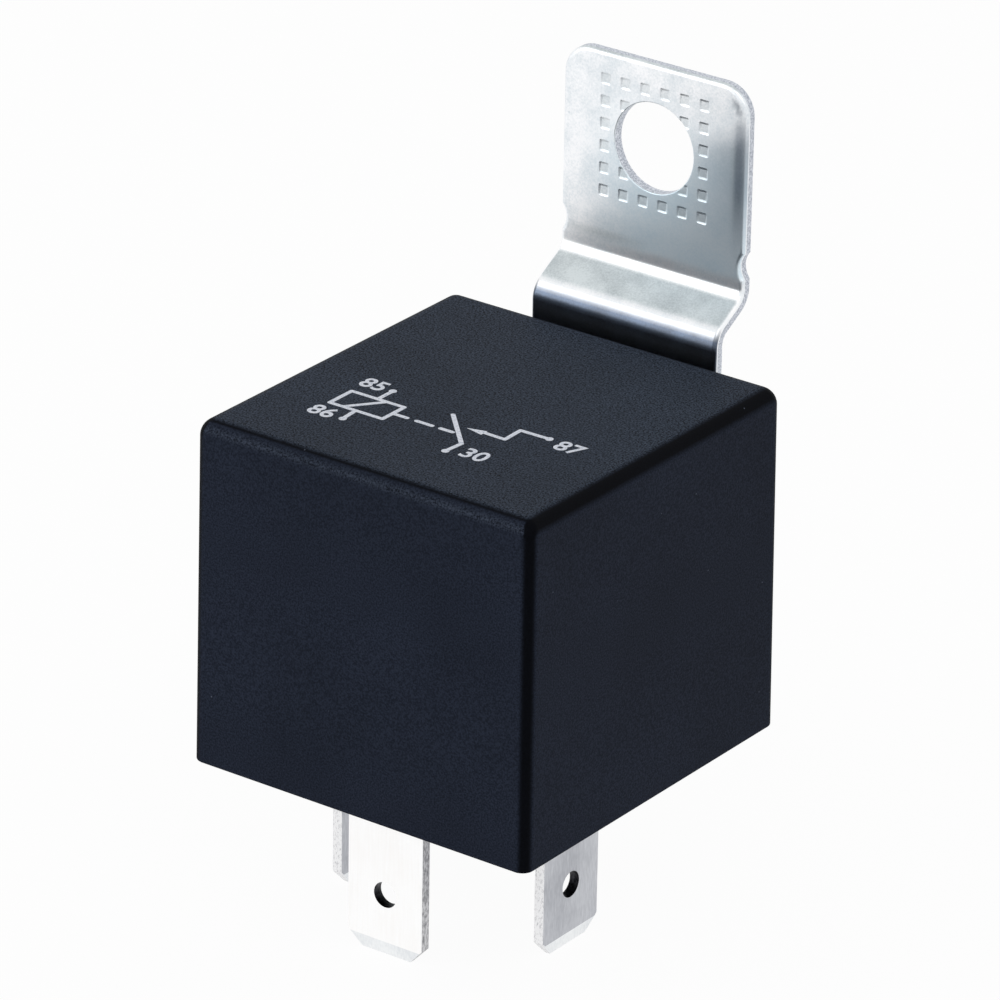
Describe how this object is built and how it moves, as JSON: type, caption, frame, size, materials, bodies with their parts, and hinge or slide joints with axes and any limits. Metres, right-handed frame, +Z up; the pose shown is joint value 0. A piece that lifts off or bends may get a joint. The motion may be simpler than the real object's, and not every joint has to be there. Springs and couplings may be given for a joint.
{
  "type": "automotive relay",
  "caption": "Cube-shaped plug-in relay with flat blade terminals, a black moulded cover and a stepped steel mounting tab with a fixing hole.",
  "frame": {"origin": "middle of the base's seating face, level with the cover's rim", "axes": "+Z up out of the seating face to the tab, +Y from the front contact blade to the mounting tab, +X across the coil blades"},
  "size_m": [0.0284, 0.0341, 0.0561],
  "materials": {
    "cover_plastic": "fine spark-eroded texture",
    "base_plastic": "moulded, satin",
    "zinc_plated_steel": "bright zinc plate",
    "tinned_brass": "matte tin plate",
    "magnet_iron": "nickel-plated soft iron",
    "rivet_steel": "plain",
    "rivet_brass": "plain",
    "bobbin_nylon": "natural nylon",
    "enamelled_copper": "enamelled wire",
    "solder_tin": "soldered",
    "silver_contact": "satin silver alloy",
    "spring_bronze": "rolled strip"
  },
  "bodies": {
    "housing": {"cover": "cover_plastic", "base": "base_plastic", "mounting_bracket": "zinc_plated_steel", "terminal_30": "tinned_brass", "terminal_85": "tinned_brass", "terminal_86": "tinned_brass", "terminal_87": "tinned_brass", "terminal_rivet": "rivet_steel", "yoke": "magnet_iron", "core": "magnet_iron", "bobbin": "bobbin_nylon", "coil_winding": "enamelled_copper", "coil_lead_85": "enamelled_copper", "coil_lead_86": "enamelled_copper", "solder_85": "solder_tin", "solder_86": "solder_tin", "fixed_contact": "silver_contact", "rest_stop": "magnet_iron", "yoke_rivet_left": "rivet_brass", "yoke_rivet_right": "rivet_brass"},
    "armature": {"armature": "magnet_iron", "contact_spring": "spring_bronze", "moving_contact": "silver_contact", "armature_rivet_front": "rivet_brass", "armature_rivet_rear": "rivet_brass"}
  },
  "joints": [
    {"name": "armature_hinge", "type": "hinge", "parent": "housing", "child": "armature", "pos_m": [0, 0.00728, 0.01865], "axis": [1, 0, 0], "range_deg": [0, 4], "stiffness_Nm_per_rad": 0.02, "springref_deg": -8.59, "deforming": ["contact_spring"]}
  ]
}
